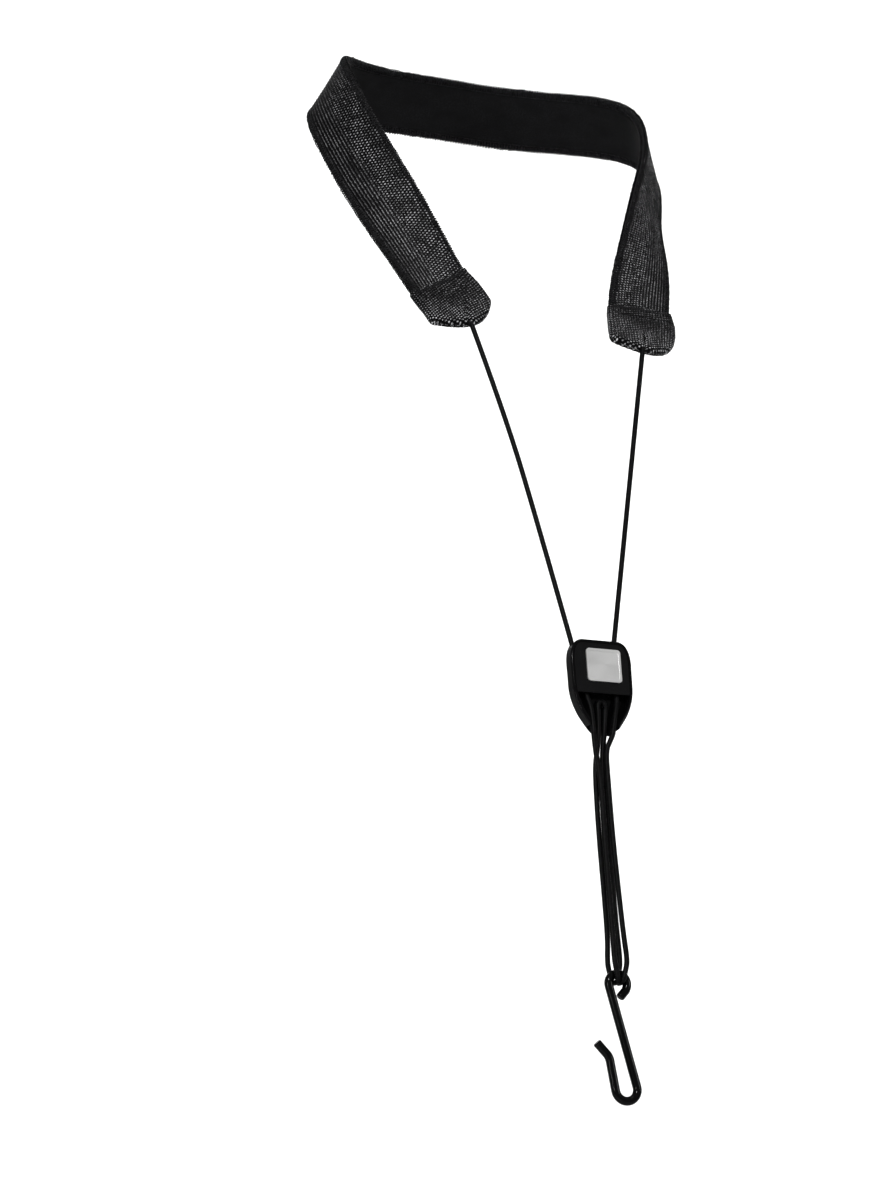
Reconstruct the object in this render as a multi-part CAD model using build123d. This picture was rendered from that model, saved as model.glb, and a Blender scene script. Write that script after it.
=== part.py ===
from build123d import *
import math
import os

# Neck strap for a saxophone, worn shape.
# Millimetres.  +X is the wearer's left, -Y the front, +Z up.
# The origin is the middle of the band's inner face at the back of the neck,
# where the strap hangs on the wearer.

# ---------------------------------------------------------------- dimensions
BAND_W = 32.0            # band width
FACE_T = 1.2             # outer webbing
PAD_T = 1.4              # foam core
LINING_T = 0.8           # inner lining
BAND_T = FACE_T + PAD_T + LINING_T
EDGE_T = 0.3             # overlock thread wrapped round each edge
EDGE_REACH = 2.2         # how far it reaches in from the edge
TAB_START = 257.0        # where the end tab begins, along the band from its middle
TAB_END = 282.0
TAB_WALL = 0.9
TAB_OVER = 1.1           # how far the tab stands out past each band edge
BAND_END = 271.0         # where the band itself stops, inside the tab
CORD_D = 2.3
CORD_R = CORD_D / 2
KNOT_D = 5.0

SLIDER_C = (0.0, -248.4, -291.3)     # slider centre
SLIDER_SLOPE = 20.5                  # lean of the slider from upright, degrees
SLIDER_X = 0.0                       # slider body's centre, across
SLIDER_H = 43.8
SLIDER_T = 6.3
RIM = 1.6
PANEL_T = 0.8
LEDGE_U = -3.4                       # lower end of the panel, top of the cord recess
RECESS_FLOOR = -1.65                 # depth of the cord recess floor from mid-thickness
ENTRY_L = (-12.8, 21.2)              # where the upper cords enter the slider (x, up)
ENTRY_R = (9.0, 21.4)
ENTRY_N = -0.9
EXIT = (44.75, -170.9, -128.7)        # where the left cord leaves its tab

STRAND_SLOPE = 18.0                  # lean of the lower strands and the hook
EYE_D = 112.6                        # slider's lower edge to the hook's eye centre
WIRE_R = 1.3                         # steel wire of the hook
COAT_R = 1.97                        # over its plastic coating
EYE_R = 4.45                         # eye, wire centreline
SHANK_LEAN = 13.0                    # shank against the strands, degrees
LOOP_X = 1.165                       # the two loops side by side in the eye
LOOP_N = 3.22                        # half the width of a loop round the wire
LOOP_TOP = 98.6                      # where the loops end and the strands begin

os.makedirs("parts", exist_ok=True)


def out(shape, name, colour=None):
    shape.label = name
    export_step(shape, "parts/%s.step" % name)


# ---------------------------------------------------------------- band path
# Stations of the wearer's left half: distance from the middle, mid-surface
# point, and the direction across the band from its neck edge to its outer edge.
STATIONS = [
    (0.0, (0.0, 1.6, 0.6), (0.0, 0.326, -0.945)),
    (28.8, (28.6, -1.1, 0.1), (0.051, 0.336, -0.940)),
    (57.7, (54.5, -13.3, -0.6), (0.209, 0.308, -0.928)),
    (85.0, (72.6, -33.5, -2.6), (0.275, 0.335, -0.901)),
    (112.8, (84.6, -57.4, -9.5), (0.369, 0.483, -0.794)),
    (141.3, (85.3, -79.3, -26.8), (0.574, 0.543, -0.613)),
    (170.0, (77.4, -96.1, -48.7), (0.677, 0.426, -0.600)),
    (197.5, (69.5, -113.2, -68.8), (0.823, 0.222, -0.523)),
    (225.3, (61.1, -130.1, -89.2), (0.921, 0.000, -0.390)),
    (254.2, (52.5, -147.7, -110.3), (0.957, -0.100, -0.272)),
    (281.1, (46.6, -167.4, -127.6), (0.975, -0.049, -0.215)),
]


def natural_spline(ts, ys):
    n = len(ts)
    h = [ts[i + 1] - ts[i] for i in range(n - 1)]
    a = [0.0] * n
    b = [1.0] * n
    c = [0.0] * n
    r = [0.0] * n
    for i in range(1, n - 1):
        a[i] = h[i - 1]
        b[i] = 2 * (h[i - 1] + h[i])
        c[i] = h[i]
        r[i] = 6 * ((ys[i + 1] - ys[i]) / h[i] - (ys[i] - ys[i - 1]) / h[i - 1])
    for i in range(1, n):
        m = a[i] / b[i - 1]
        b[i] -= m * c[i - 1]
        r[i] -= m * r[i - 1]
    k = [0.0] * n
    k[-1] = r[-1] / b[-1]
    for i in range(n - 2, -1, -1):
        k[i] = (r[i] - c[i] * k[i + 1]) / b[i]

    def f(t):
        i = 0
        while i < n - 2 and t > ts[i + 1]:
            i += 1
        u = t - ts[i]
        v = ts[i + 1] - t
        hi = h[i]
        if t < ts[0] or t > ts[-1]:      # straight on past the ends
            j = 0 if t < ts[0] else n - 1
            e = ts[j]
            ii = 0 if j == 0 else n - 2
            s = (ys[ii + 1] - ys[ii]) / h[ii]
            s += h[ii] * (k[ii] + 2 * k[ii + 1]) / 6 if j else -h[ii] * (2 * k[ii] + k[ii + 1]) / 6
            return ys[j] + s * (t - e)
        return (k[i] * v ** 3 + k[i + 1] * u ** 3) / (6 * hi) + \
            (ys[i] / hi - k[i] * hi / 6) * v + (ys[i + 1] / hi - k[i + 1] * hi / 6) * u
    return f


_full = [(-s, (-c[0], c[1], c[2]), (-w[0], w[1], w[2])) for s, c, w in reversed(STATIONS[1:])] + STATIONS
_ts = [q[0] for q in _full]
_C = [natural_spline(_ts, [q[1][i] for q in _full]) for i in range(3)]
_W = [natural_spline(_ts, [q[2][i] for q in _full]) for i in range(3)]


def frame_at(s):
    c = Vector(*[f(s) for f in _C])
    t = (Vector(*[f(s + 0.05) for f in _C]) - Vector(*[f(s - 0.05) for f in _C])).normalized()
    w = Vector(*[f(s) for f in _W])
    w = (w - t * w.dot(t)).normalized()
    return c, t, w, t.cross(w)


def on_band(s, w, n):
    c, _, wd, nd = frame_at(s)
    return c + wd * w + nd * n


def strip(s_list, profile, ruled=True):
    wires = []
    for s in s_list:
        pts = [on_band(s, w, n) for w, n in profile(s)]
        wires.append(Wire.make_polygon(pts, close=True))
    return Solid.make_loft(wires, ruled)


def spread(a, b, n):
    return [a + (b - a) * i / (n - 1) for i in range(n)]


N_OUT = BAND_T / 2
N_FACE = N_OUT - FACE_T
N_IN = -BAND_T / 2
N_LIN = N_IN + LINING_T
H = BAND_W / 2


def rect(h, n0, n1):
    return lambda s: [(-h, n0), (h, n0), (h, n1), (-h, n1)]


S_EDGE = spread(-256.0, 256.0, 65)
S_BAND = [-BAND_END, -264.0] + S_EDGE + [264.0, BAND_END]
LAYER_GAP = 0.02
out(strip(S_BAND, rect(H, N_FACE, N_OUT)), "band_face")
out(strip(S_BAND, rect(H, N_LIN + LAYER_GAP, N_FACE - LAYER_GAP)), "band_padding")
out(strip(S_BAND, rect(H, N_IN, N_LIN)), "band_lining")

# overlock thread wrapped round each edge, from tab to tab
for name, sg in (("edge_stitching_neck_side", -1), ("edge_stitching_outer_side", 1)):
    prof = [(sg * (H - EDGE_REACH), N_OUT + EDGE_T), (sg * (H + EDGE_T), N_OUT + EDGE_T),
            (sg * (H + EDGE_T), N_IN - EDGE_T), (sg * (H - EDGE_REACH), N_IN - EDGE_T),
            (sg * (H - EDGE_REACH), N_IN - 0.02), (sg * (H + 0.02), N_IN - 0.02), (sg * (H + 0.02), N_OUT + 0.02),
            (sg * (H - EDGE_REACH), N_OUT + 0.02)]
    out(strip(S_EDGE, lambda s, p=prof: p), name)

# ---------------------------------------------------------------- end tabs
# A folded sleeve of webbing sewn over each end of the band.  It closes over
# the stopper knot of the cord, which leaves through a flared hole at its end.
TAB_H = H + TAB_OVER
TAB_N = BAND_T / 2 + TAB_WALL


def tab_profile(s, side):
    d = TAB_END - abs(s)
    k = 1.0
    if d < 5.0:
        k = math.sqrt(max(0.0, 1 - ((5.0 - d) / 5.0) ** 2))
    h = TAB_H - 5.0 * (1 - k)
    e = 1.0 if d > 1.6 else math.sqrt(max(0.0, 1 - ((1.6 - d) / 1.6) ** 2))
    n = TAB_N - 1.3 * (1 - e)
    c = min(0.9, n * 0.45)
    return [(-h, -n + c), (-h + c, -n), (h - c, -n), (h, -n + c), (h, n - c), (h - c, n), (-h + c, n), (-h, n - c)]


for side, tag in ((1, "left"), (-1, "right")):
    ss = [side * s for s in (TAB_START, 264.0, BAND_END, 275.0, 277.2, 278.4, 279.4, 280.2, 280.8, 281.3, 281.7, 281.9)]
    tab = strip(ss, lambda s: tab_profile(s, side), ruled=True)
    pocket = strip([side * s for s in (TAB_START - 1, 264.0, BAND_END + 0.1)],
                   rect(H + 0.05, N_IN - 0.05, N_OUT + 0.05))
    tab = tab - pocket
    ex = Vector(side * EXIT[0], EXIT[1], EXIT[2])
    knot = on_band(side * 275.4, 0, 0)
    inward = (knot - ex).normalized()
    chamber = Solid.make_sphere(KNOT_D / 2 + 0.05).moved(Location(knot))
    bore = Solid.make_cylinder(CORD_R + 0.05, (knot - ex).length + 4.0, Plane(ex - inward * 4.0, z_dir=inward))
    # flare that lets the cord swing
    flare = Solid.make_sphere(CORD_R + 0.55).moved(Location(ex))
    tab = tab - chamber - bore - flare
    out(tab, "end_tab_" + tag)
    # stopper knot: the cord's sewn-in end
    stub_end = ex + inward * (CORD_R + 0.35)
    ball = Solid.make_sphere(KNOT_D / 2).moved(Location(knot))
    stub = Solid.make_cylinder(CORD_R, (knot - stub_end).length, Plane(stub_end, z_dir=inward))
    out(ball + stub, "cord_end_knot_" + tag)
    # seam across the tab: separate thread bars lying on its outer face
    bars = []
    for i in range(12):
        w0 = -13.2 + i * 2.4
        a = on_band(side * 262.0, w0 - 0.75, TAB_N + 0.2)
        b = on_band(side * 262.0, w0 + 0.75, TAB_N + 0.2)
        bars.append(Solid.make_cylinder(0.15, (b - a).length, Plane(a, z_dir=(b - a))))
    out(Compound(children=bars), "tab_seam_" + tag)

# ---------------------------------------------------------------- cords
def cord_tube(pts, name=None, r=CORD_R, radii=None):
    """Straight runs joined by tangent arcs; each arc as large as its runs allow."""
    pts = [Vector(*p) if not isinstance(p, Vector) else p for p in pts]
    if len(pts) == 2:
        L = (pts[1] - pts[0]).length
        if name:
            print("%-26s straight run %.1f mm" % (name, L))
        return Solid.make_cylinder(r, L, Plane(pts[0], z_dir=pts[1] - pts[0])), L
    if radii is None:
        radii = []
        for i in range(1, len(pts) - 1):
            u = pts[i] - pts[i - 1]
            v = pts[i + 1] - pts[i]
            turn = math.radians(u.get_angle(v))
            radii.append(0.45 * min(u.length, v.length) / math.tan(turn / 2))
    path = FilletPolyline(*pts, radius=radii)
    w = path if isinstance(path, Wire) else Wire(path.edges())
    start = Plane(pts[0], z_dir=pts[1] - pts[0])
    prof = start * Circle(r)
    tube = sweep(prof, path=w)
    L = w.length
    if name:
        print("%-26s length %.1f mm, volume ratio %.4f, radii %s" % (
            name, L, tube.volume / (math.pi * r * r * L), [round(q, 1) for q in radii]))
    return tube, L


psi = math.radians(SLIDER_SLOPE)
EX = Vector(1, 0, 0)
EU = Vector(0, math.sin(psi), math.cos(psi))      # up along the slider
EN = Vector(0, -math.cos(psi), math.sin(psi))     # out of its front face
SC = Vector(*SLIDER_C)


def at_slider(x, u, n):
    return SC + EX * x + EU * u + EN * n


phi = math.radians(STRAND_SLOPE)
DD = Vector(0, -math.sin(phi), -math.cos(phi))    # down the strands
DN = Vector(0, -math.cos(phi), math.sin(phi))     # towards the front
PIVOT = at_slider(0, -SLIDER_H / 2, 0)            # lower edge of the slider


def at_strand(x, d, n):
    return PIVOT + EX * x + DD * d + DN * n


# upper cords, tight between the tabs and the slider
exit_l = Vector(EXIT[0], EXIT[1], EXIT[2])
exit_r = Vector(-EXIT[0], EXIT[1], EXIT[2])
ent_r = at_slider(ENTRY_L[0], ENTRY_L[1] + 0.9, ENTRY_N)   # the wearer's right cord is on the -X side
ent_l = at_slider(ENTRY_R[0], ENTRY_R[1] + 0.9, ENTRY_N)
UPPER = {}
for name, a, b, bow in (("cord_upper_left", exit_l, ent_l, 0.0), ("cord_upper_right", exit_r, ent_r, 1.6)):
    if bow:
        side = Vector(1, 0, 0)
        p1 = a + (b - a) * 0.30 + side * bow * 1.62
        p2 = a + (b - a) * 0.62 + side * bow * 1.22
        pts = [a, p1, p2, b]
    else:
        pts = [a, b]
    tube, L = cord_tube(pts, name)
    cap = Solid.make_sphere(CORD_R).moved(Location(a))     # rounded top end on the swing axis
    tube = tube + cap
    UPPER[name] = L
    out(tube, name)

# cords inside the slider
IN_L = [at_slider(ENTRY_R[0], ENTRY_R[1] + 0.9 - 0.3, ENTRY_N), at_slider(8.3, -3.0, -0.3), at_slider(6.3, -9.8, 1.2),
        at_slider(4.8, -16.0, 1.9), at_slider(3.5, -SLIDER_H / 2, 1.95)]
IN_R = [at_slider(ENTRY_L[0], ENTRY_L[1] + 0.9 - 0.3, ENTRY_N), at_slider(-7.4, -2.4, -0.6), at_slider(-5.7, -12.2, 1.5),
        at_slider(-5.9, -SLIDER_H / 2, 1.95)]
t, L_in_l = cord_tube(IN_L, "cord_slider_left", radii=[9.0, 14.0, 20.0])
out(t, "cord_slider_left")
t, L_in_r = cord_tube(IN_R, "cord_slider_right")
out(t, "cord_slider_right")
LOOPN = -0.47
IN_M = [at_slider(-2.4, -SLIDER_H / 2, LOOPN), at_slider(-1.75, -12.0, LOOPN), at_slider(-1.75, -6.2, LOOPN),
        at_slider(1.75, -6.2, LOOPN), at_slider(1.75, -12.0, LOOPN), at_slider(-0.1, -SLIDER_H / 2, LOOPN)]
t, L_in_m = cord_tube(IN_M, "cord_slider_loop", radii=[30.0, 1.72, 1.72, 30.0])
out(t, "cord_slider_loop")

# four strands from the slider to the hook
LOOP_FRONT_L = 2.9
LOOP_BACK_R = -2.5
STRANDS = {
    "cord_strand_1": [(-5.9, 0.25, 1.9), (-5.8, 8.0, 1.75), (-5.2, 14.0, 1.5), (-3.6, 26.0, 1.4), (-3.3, 48.0, 1.5), (-3.05, 69.0, 2.2), (-2.15, LOOP_TOP, 3.35)],
    "cord_strand_2": [(-2.4, 0.25, -0.45), (-2.8, 7.0, -1.15), (-4.3, 16.0, -1.3), (-4.8, 26.0, -1.35), (-4.5, 48.0, -1.45), (-3.3, 69.0, -2.2), (LOOP_BACK_R, LOOP_TOP, -3.35)],
    "cord_strand_3": [(-0.1, 0.25, -0.45), (-0.6, 8.0, -1.15), (-0.85, 26.0, -1.3), (-0.3, 48.0, -1.45), (1.3, 69.0, -2.2), (2.15, LOOP_TOP, -3.35)],
    "cord_strand_4": [(3.5, 0.25, 1.9), (2.4, 3.2, 1.85), (-0.1, 8.6, 1.5), (0.1, 22.0, 1.4), (0.7, 46.0, 1.5), (1.6, 69.0, 2.2), (LOOP_FRONT_L, LOOP_TOP, 3.35)],
}
STRAND_L = {}
for name, pts in STRANDS.items():
    t, L = cord_tube([at_strand(*p) for p in pts], name)
    STRAND_L[name] = L
    out(t, name)

# two loops that pass through the hook's eye, round its top wire
LOOP_B = EYE_D - 0.45
LOOP_L = {}
for tag, sx in (("left", 1), ("right", -1)):
    x = sx * LOOP_X
    xf = LOOP_FRONT_L if sx == 1 else -2.15
    xb = 2.15 if sx == 1 else LOOP_BACK_R
    pts = [(xf, LOOP_TOP + 0.4, 3.35), (x, EYE_D - 7.0, LOOP_N), (x, LOOP_B, LOOP_N),
           (x, LOOP_B, -LOOP_N), (x, EYE_D - 7.0, -LOOP_N), (xb, LOOP_TOP + 0.4, -3.35)]
    t, L = cord_tube([at_strand(*p) for p in pts], "cord_hook_loop_" + tag, radii=[16.0, 3.19, 3.19, 16.0])
    LOOP_L[tag] = L
    out(t, "cord_hook_loop_" + tag)

# ---------------------------------------------------------------- slider
front = Plane(SC + EX * SLIDER_X, x_dir=(1, 0, 0), z_dir=EN)


def outline(inset=0.0):
    right = [(8.4, 21.9), (12.8, 19.9), (14.9, 14.8), (15.1, 6.0), (14.9, -2.0), (14.1, -6.2), (12.8, -9.9),
             (11.1, -13.4), (9.1, -16.4), (6.9, -19.4), (3.6, -21.9)]
    if inset:
        c = []
        for i, p in enumerate(right):
            q0 = right[max(0, i - 1)]
            q1 = right[min(len(right) - 1, i + 1)]
            tx, ty = q1[0] - q0[0], q1[1] - q0[1]
            if i == 0:
                tx, ty = 1.0, 0.0
            if i == len(right) - 1:
                tx, ty = -1.0, 0.0
            l = math.hypot(tx, ty)
            c.append((p[0] + ty / l * inset, p[1] - tx / l * inset))
        right = c
    left = [(-x, y) for x, y in reversed(right)]
    s1 = Spline(*right, tangents=[(1, 0), (-1, 0)], tangent_scalars=[1.2, 0.8])
    s2 = Spline(*left, tangents=[(-1, 0), (1, 0)], tangent_scalars=[0.8, 1.2])
    l1 = Line(left[-1], right[0])
    l2 = Line(right[-1], left[0])
    return make_face(Curve() + [l1, s1, l2, s2])


def slab(face, n0, n1):
    return extrude(front.offset(n0) * face, amount=n1 - n0)


body = slab(outline(), -SLIDER_T / 2, SLIDER_T / 2)
for rr in (1.0, 0.8, 0.6, 0.4):
    try:
        edges = body.edges().filter_by(lambda e: abs((e.center() - SC).dot(EN)) > SLIDER_T / 2 - 0.01)
        body = fillet(edges, rr)
        print("rim rounding", rr)
        break
    except Exception as err:
        print("rim rounding left out:", rr, err)
inner = outline(RIM)
# pocket for the panel
box_u = slab(Pos(0, (LEDGE_U + 30) / 2) * Rectangle(60, 30 - LEDGE_U), SLIDER_T / 2 - PANEL_T - 0.2, SLIDER_T)
pocket = slab(inner, SLIDER_T / 2 - PANEL_T - 0.2, SLIDER_T) & box_u
body = body - pocket
# cord recess under the panel, open at its lower end
low = slab(Pos(0, LEDGE_U - 20) * Rectangle(60, 40), RECESS_FLOOR, SLIDER_T)
recess = (slab(inner, RECESS_FLOOR, SLIDER_T) & low)
lower_open = slab(Pos(-0.5, -14.8 - 20) * Rectangle(14.4, 40), RECESS_FLOOR, SLIDER_T)
body = body - recess - lower_open
# cord slots from the top edge down into the recess
for xs in (1, -1):
    a0 = (14.5, 23.5)
    b0 = (6.5, 23.5)
    c0 = (5.2, LEDGE_U - 1.5)
    d0 = (9.9, LEDGE_U - 1.5)
    poly = [(xs * p[0], p[1]) for p in (a0, b0, c0, d0)]
    slot = slab(make_face(Polyline(*poly, close=True)), ENTRY_N - CORD_R - 0.15, ENTRY_N + CORD_R + 1.1)
    body = body - slot
# post that the middle cord hangs over
post = Solid.make_cylinder(0.52, 3.6, Plane(SC + EU * -8.9 + EN * RECESS_FLOOR, z_dir=EN))
body = body + post
body = body.solids().sort_by(SortBy.VOLUME)[-1]
out(body, "slider_body")
panel = (slab(outline(RIM + 0.06), SLIDER_T / 2 - PANEL_T - 0.2, SLIDER_T / 2 - 0.2)
         & slab(Pos(0, (LEDGE_U + 0.0 + 30) / 2) * Rectangle(60, 30 - LEDGE_U), SLIDER_T / 2 - PANEL_T - 0.3, SLIDER_T))
out(panel.solids()[0], "slider_panel")
# plain plaque with a low raised border
plaque = slab(Pos(0.9, 9.7) * RectangleRounded(17.0, 15.4, 1.5), SLIDER_T / 2 - 0.2, SLIDER_T / 2 + 0.55)
plaque = plaque - slab(Pos(0.9, 9.7) * RectangleRounded(15.0, 13.4, 0.8), SLIDER_T / 2 + 0.35, SLIDER_T / 2 + 1.0)
out(plaque.solids()[0], "slider_plaque")

# ---------------------------------------------------------------- hook
# One bent wire in a moulded coating: closed eye at the top, leaning shank,
# open U at the bottom and an outward-bent tip.  In-plane points (x, d).
lean = math.radians(SHANK_LEAN)
EYE = (0.0, 0.0)


def hook_path(tail=0.0, r_tip=0.0):
    sx, sd = math.sin(lean), math.cos(lean)
    # eye arc: from the right side over the top to the shank's tangent point
    a_start = math.radians(22.0)           # below the right-hand side
    pS = (EYE_R * math.cos(a_start), EYE_R * math.sin(a_start))
    a_mid = math.radians(-80.0)
    pM = (EYE_R * math.cos(a_mid), EYE_R * math.sin(a_mid))
    pT = (-EYE_R * sd, EYE_R * sx)         # tangent point on the left
    # curl-in end of the eye, tangent to the arc at pS
    ux, ud = -math.sin(a_start), math.cos(a_start)
    c_end = (pS[0] + ux * 1.2, pS[1] + ud * 1.2)
    e2 = (0.42, 6.1)
    return pS, pM, pT, c_end, e2


TRIM = math.radians(0.96)       # small turn of the hook about its eye


def in_plane(p):
    x = p[0] * math.cos(TRIM) + p[1] * math.sin(TRIM)
    d = -p[0] * math.sin(TRIM) + p[1] * math.cos(TRIM)
    return at_strand(x, EYE_D + d, 0)


sx, sd = math.sin(lean), math.cos(lean)
pS, pM, pT, cE, e2 = hook_path()
# shank line: x = xT + (d - dT) * tan(lean)
def shank(d):
    return (pT[0] + (d - pT[1]) * math.tan(lean), d)


U_R = 5.2
R_pt = shank(50.2)
L_pt = (-3.95, 51.9)
B_pt = (-6.6, 32.0)
TIP = (-12.3, 25.7)


def wire_solid(r, end_trim):
    eye_end_dir = Vector(e2[0] - cE[0], e2[1] - cE[1])
    e_end = Vector(*e2) - eye_end_dir.normalized() * end_trim
    tip_dir = Vector(TIP[0] - B_pt[0], TIP[1] - B_pt[1]).normalized()
    t_end = Vector(*TIP) - tip_dir * end_trim
    # lower part: from the tangent point down the shank, round the U, up the leg, out to the tip
    pts = [in_plane(pT), in_plane(R_pt), in_plane(L_pt), in_plane(B_pt), in_plane((t_end.X, t_end.Y))]
    low_path = FilletPolyline(*pts, radius=[U_R, U_R, 6.0])
    arc = ThreePointArc(in_plane(pT), in_plane(pM), in_plane(pS))
    curl = FilletPolyline(in_plane(pS), in_plane(cE), in_plane((e_end.X, e_end.Y)), radius=2.2)
    w = Wire(list(curl.edges()) + [arc.edge()] + list(low_path.edges()))
    p0 = in_plane((e_end.X, e_end.Y))
    d0 = in_plane(cE) - p0
    prof = Plane(p0, z_dir=d0) * Circle(r)
    s = sweep(prof, path=w)
    print("hook wire length %.1f mm, volume ratio %.4f" % (w.length, s.volume / (math.pi * r * r * w.length)))
    return s, w


core, core_w = wire_solid(WIRE_R, 0.9)
skin, skin_w = wire_solid(COAT_R, 0.0)
# rounded ends of the moulded coating
ends = [e for e in skin.edges() if e.geom_type == GeomType.CIRCLE and abs(e.radius - COAT_R) < 1e-3
        and ((e.arc_center - in_plane(TIP)).length < 0.3 or (e.arc_center - in_plane(e2)).length < 0.3)]
try:
    skin = fillet(ends, 0.75)
    print("coating ends rounded", len(ends))
except Exception as err:
    print("coating ends left square:", err)
coat = skin - core
print("coat solids", len(coat.solids()))
com = (core.center(CenterOf.MASS) * core.volume * 7.8 + coat.center(CenterOf.MASS) * coat.volume * 1.3) / (core.volume * 7.8 + coat.volume * 1.3)
rel = com - at_strand(0, EYE_D, 0)
print("hook centre of mass from the eye centre: across %.2f, down %.2f mm" % (rel.dot(EX), rel.dot(DD)))
out(core, "hook_wire")
out(coat, "hook_coating")

total = UPPER["cord_upper_left"] + UPPER["cord_upper_right"] + L_in_l + L_in_r + L_in_m + sum(STRAND_L.values()) + sum(LOOP_L.values())
print("cord, knot to knot: about %.0f mm" % (total + 2 * 8))
print("slide axis", (Vector(0, EXIT[1], EXIT[2]) - at_slider(0, ENTRY_L[1], ENTRY_N)).normalized())
print("pivot", PIVOT, "eye", at_strand(0, EYE_D, 0), "down", DD)
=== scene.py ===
import bpy
import bmesh
import math
import numpy as np
from mathutils import Vector, Matrix


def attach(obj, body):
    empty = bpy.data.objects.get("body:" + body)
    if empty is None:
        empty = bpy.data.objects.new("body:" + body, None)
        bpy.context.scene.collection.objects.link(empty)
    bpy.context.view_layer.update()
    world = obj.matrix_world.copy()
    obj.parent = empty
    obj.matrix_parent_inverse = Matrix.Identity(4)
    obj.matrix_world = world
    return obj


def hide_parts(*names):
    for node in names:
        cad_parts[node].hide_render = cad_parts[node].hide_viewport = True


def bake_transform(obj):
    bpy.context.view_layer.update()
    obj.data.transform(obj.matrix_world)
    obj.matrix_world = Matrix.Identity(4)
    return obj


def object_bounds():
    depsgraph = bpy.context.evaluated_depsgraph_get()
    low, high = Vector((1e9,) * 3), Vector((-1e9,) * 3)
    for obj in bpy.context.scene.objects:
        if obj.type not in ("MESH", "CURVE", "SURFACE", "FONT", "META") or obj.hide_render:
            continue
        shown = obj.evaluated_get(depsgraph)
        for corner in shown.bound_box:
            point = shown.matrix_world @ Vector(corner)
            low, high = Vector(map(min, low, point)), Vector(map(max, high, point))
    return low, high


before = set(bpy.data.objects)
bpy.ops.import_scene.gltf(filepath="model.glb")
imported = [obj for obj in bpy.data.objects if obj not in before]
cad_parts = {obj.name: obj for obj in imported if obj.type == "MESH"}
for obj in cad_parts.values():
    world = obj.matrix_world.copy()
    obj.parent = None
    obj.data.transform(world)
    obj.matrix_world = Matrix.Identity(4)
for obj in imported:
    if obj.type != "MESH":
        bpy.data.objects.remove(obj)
CAD_LO, CAD_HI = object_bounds()

MM = 0.001
rng = np.random.default_rng(11)

# ------------------------------------------------------------------ geometry facts, millimetres
BAND_W, BAND_T = 32.0, 3.4
H = BAND_W / 2
N_OUT, N_IN = BAND_T / 2, -BAND_T / 2
TAB_START, TAB_END = 257.0, 282.0
TAB_H, TAB_N = H + 1.1, BAND_T / 2 + 0.9
CORD_R = 1.15
SLIDER_C = np.array([0.0, -248.4, -291.3])
SLIDER_H = 43.8
EXIT = np.array([44.75, -170.9, -128.7])
EYE_D = 112.6
PSI, PHI = math.radians(20.5), math.radians(18.0)
EX = np.array([1.0, 0.0, 0.0])
EU = np.array([0.0, math.sin(PSI), math.cos(PSI)])
EN = np.array([0.0, -math.cos(PSI), math.sin(PSI)])
DD = np.array([0.0, -math.sin(PHI), -math.cos(PHI)])
DN = np.array([0.0, -math.cos(PHI), math.sin(PHI)])
PIVOT = SLIDER_C - EU * SLIDER_H / 2

# distance from the middle, mid-surface point, direction across from the neck edge to the outer edge
STATIONS = [
    (0.0, (0.0, 1.6, 0.6), (0.0, 0.326, -0.945)),
    (28.8, (28.6, -1.1, 0.1), (0.051, 0.336, -0.940)),
    (57.7, (54.5, -13.3, -0.6), (0.209, 0.308, -0.928)),
    (85.0, (72.6, -33.5, -2.6), (0.275, 0.335, -0.901)),
    (112.8, (84.6, -57.4, -9.5), (0.369, 0.483, -0.794)),
    (141.3, (85.3, -79.3, -26.8), (0.574, 0.543, -0.613)),
    (170.0, (77.4, -96.1, -48.7), (0.677, 0.426, -0.600)),
    (197.5, (69.5, -113.2, -68.8), (0.823, 0.222, -0.523)),
    (225.3, (61.1, -130.1, -89.2), (0.921, 0.000, -0.390)),
    (254.2, (52.5, -147.7, -110.3), (0.957, -0.100, -0.272)),
    (281.1, (46.6, -167.4, -127.6), (0.975, -0.049, -0.215)),
]
_full = [(-s, (-c[0], c[1], c[2]), (-w[0], w[1], w[2])) for s, c, w in reversed(STATIONS[1:])] + STATIONS


class Natural:
    """Natural cubic spline through rows of numbers, straight on past its ends."""

    def __init__(self, t, y):
        self.t, self.y = np.array(t, float), np.array(y, float)
        n = len(self.t)
        h = self.h = np.diff(self.t)
        A = np.eye(n)
        r = np.zeros(self.y.shape)
        for i in range(1, n - 1):
            A[i, i - 1], A[i, i], A[i, i + 1] = h[i - 1], 2 * (h[i - 1] + h[i]), h[i]
            r[i] = 6 * ((self.y[i + 1] - self.y[i]) / h[i] - (self.y[i] - self.y[i - 1]) / h[i - 1])
        self.k = np.linalg.solve(A, r)

    def __call__(self, q):
        q = np.asarray(q, float)
        c = np.clip(q, self.t[0], self.t[-1])
        i = np.clip(np.searchsorted(self.t, c, side="right") - 1, 0, len(self.t) - 2)
        h = self.h[i][..., None]
        u, v = (c - self.t[i])[..., None], (self.t[i + 1] - c)[..., None]
        k0, k1, y0, y1 = self.k[i], self.k[i + 1], self.y[i], self.y[i + 1]
        y = (k0 * v ** 3 + k1 * u ** 3) / (6 * h) + (y0 / h - k0 * h / 6) * v + (y1 / h - k1 * h / 6) * u
        d = (-k0 * v ** 2 + k1 * u ** 2) / (2 * h) - (y0 / h - k0 * h / 6) + (y1 / h - k1 * h / 6)
        return y + d * (q - c)[..., None], d


MID = Natural([q[0] for q in _full], [q[1] for q in _full])
ACROSS = Natural([q[0] for q in _full], [q[2] for q in _full])


def unit(v):
    return v / np.linalg.norm(v, axis=-1, keepdims=True)


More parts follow.
